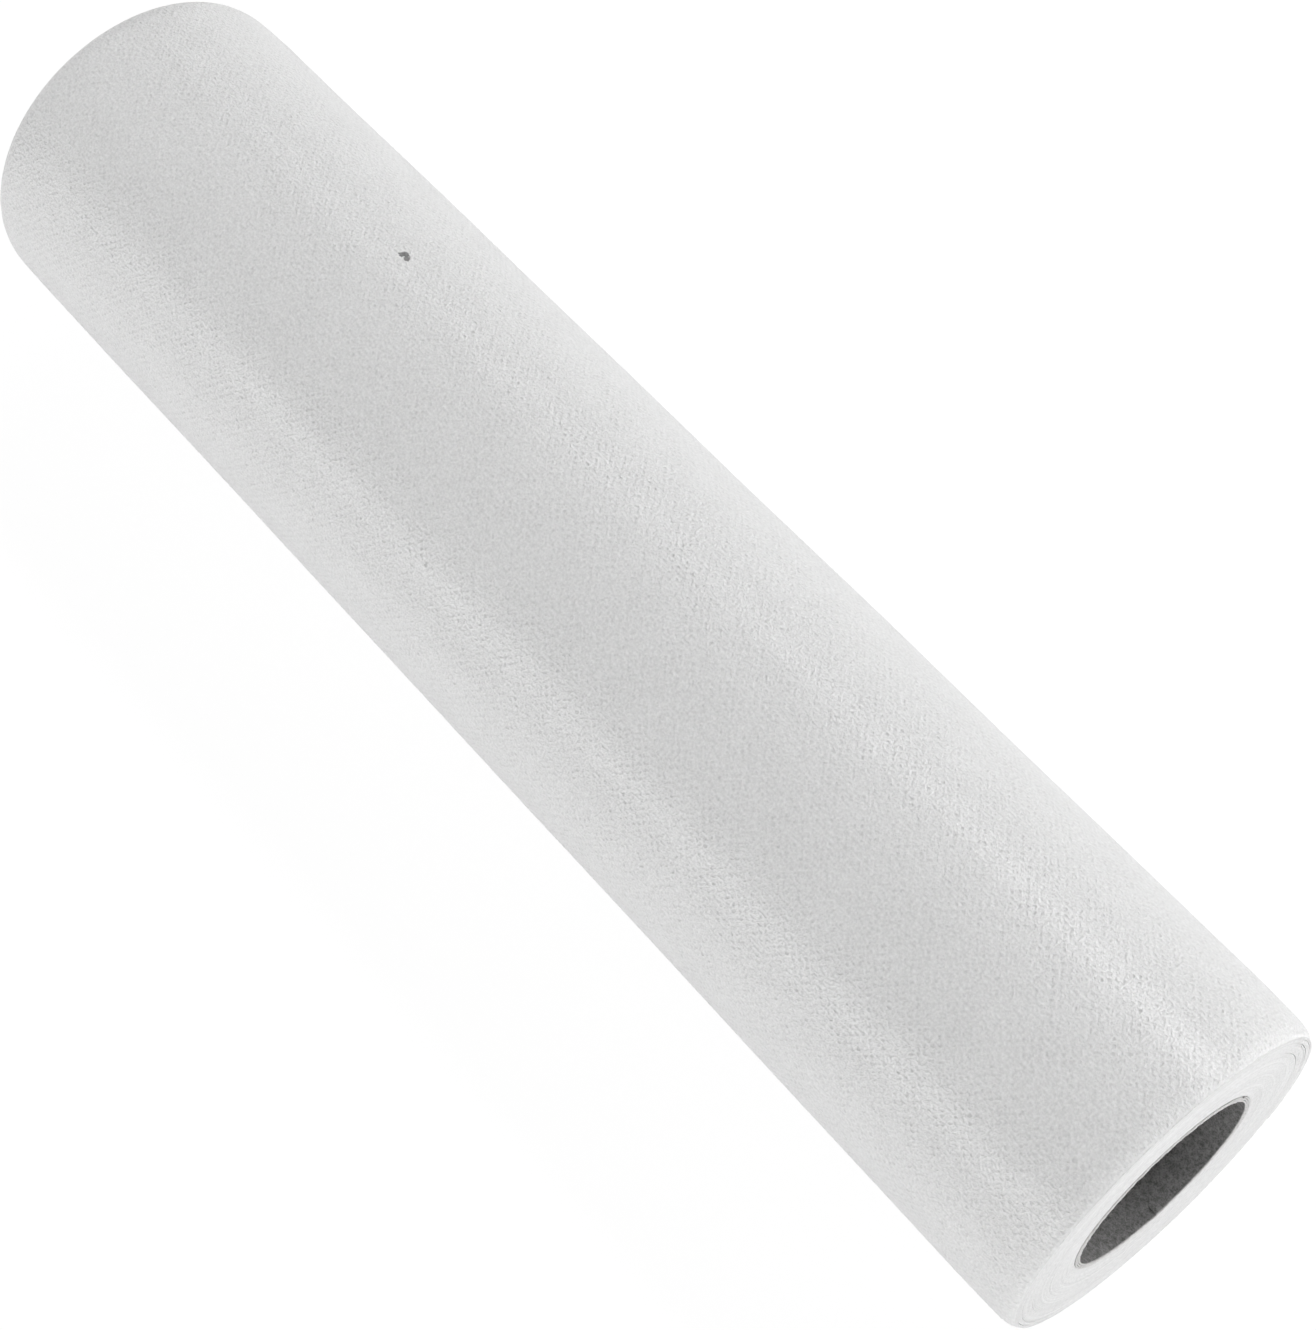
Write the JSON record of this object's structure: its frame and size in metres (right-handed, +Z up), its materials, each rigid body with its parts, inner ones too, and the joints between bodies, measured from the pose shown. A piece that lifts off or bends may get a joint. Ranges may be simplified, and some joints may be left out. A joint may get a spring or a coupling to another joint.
{
  "type": "backdrop paper roll",
  "caption": "Short white embossed backdrop roll on a spiral-wound board core, lying on its side, open through the core, with a free end that lifts and bends back off the roll.",
  "frame": {"origin": "on the surface that the roll lies on, under the middle of the roll", "axes": "+X along the roll's axis, +Z up, +Y towards the side where the free end lifts"},
  "size_m": [0.3, 0.071, 0.0701],
  "materials": {
    "web": "matte",
    "core_board": "matte",
    "tape": "satin"
  },
  "bodies": {
    "roll": {"core_inner_ply": "core_board", "core_middle_ply": "core_board", "core_outer_ply": "core_board", "starter_tape": "tape", "wound_pack": "web", "outer_wraps": "web"},
    "tail_1": {"web_tail_1": "web"},
    "tail_2": {"web_tail_2": "web"},
    "tail_3": {"web_tail_3": "web"},
    "tail_4": {"web_tail_4": "web"},
    "tail_5": {"web_tail_5": "web"},
    "tail_6": {"web_tail_6": "web"},
    "tail_7": {"web_tail_7": "web"},
    "tail_8": {"web_tail_8": "web"}
  },
  "joints": [
    {"name": "tail_lift", "type": "hinge", "parent": "roll", "child": "tail_1", "pos_m": [0, 0.02282, 0.06177], "axis": [1, 0, 0], "range_deg": [0, 20]},
    {"name": "tail_bend_2", "type": "hinge", "parent": "tail_1", "child": "tail_2", "pos_m": [0, 0.02721, 0.05741], "axis": [1, 0, 0], "range_deg": [0, 20]},
    {"name": "tail_bend_3", "type": "hinge", "parent": "tail_2", "child": "tail_3", "pos_m": [0, 0.03084, 0.05238], "axis": [1, 0, 0], "range_deg": [0, 20]},
    {"name": "tail_bend_4", "type": "hinge", "parent": "tail_3", "child": "tail_4", "pos_m": [0, 0.03342, 0.04674], "axis": [1, 0, 0], "range_deg": [0, 20]},
    {"name": "tail_bend_5", "type": "hinge", "parent": "tail_4", "child": "tail_5", "pos_m": [0, 0.03505, 0.04075], "axis": [1, 0, 0], "range_deg": [0, 20]},
    {"name": "tail_bend_6", "type": "hinge", "parent": "tail_5", "child": "tail_6", "pos_m": [0, 0.03568, 0.03458], "axis": [1, 0, 0], "range_deg": [0, 20]},
    {"name": "tail_bend_7", "type": "hinge", "parent": "tail_6", "child": "tail_7", "pos_m": [0, 0.0351, 0.02839], "axis": [1, 0, 0], "range_deg": [0, 20]},
    {"name": "tail_bend_8", "type": "hinge", "parent": "tail_7", "child": "tail_8", "pos_m": [0, 0.03351, 0.02238], "axis": [1, 0, 0], "range_deg": [0, 20]}
  ],
  "couplings": [
    {"joint": "tail_bend_2", "follows": "tail_lift", "ratio": 1},
    {"joint": "tail_bend_3", "follows": "tail_lift", "ratio": 1},
    {"joint": "tail_bend_4", "follows": "tail_lift", "ratio": 1},
    {"joint": "tail_bend_5", "follows": "tail_lift", "ratio": 1},
    {"joint": "tail_bend_6", "follows": "tail_lift", "ratio": 1},
    {"joint": "tail_bend_7", "follows": "tail_lift", "ratio": 1},
    {"joint": "tail_bend_8", "follows": "tail_lift", "ratio": 1}
  ]
}
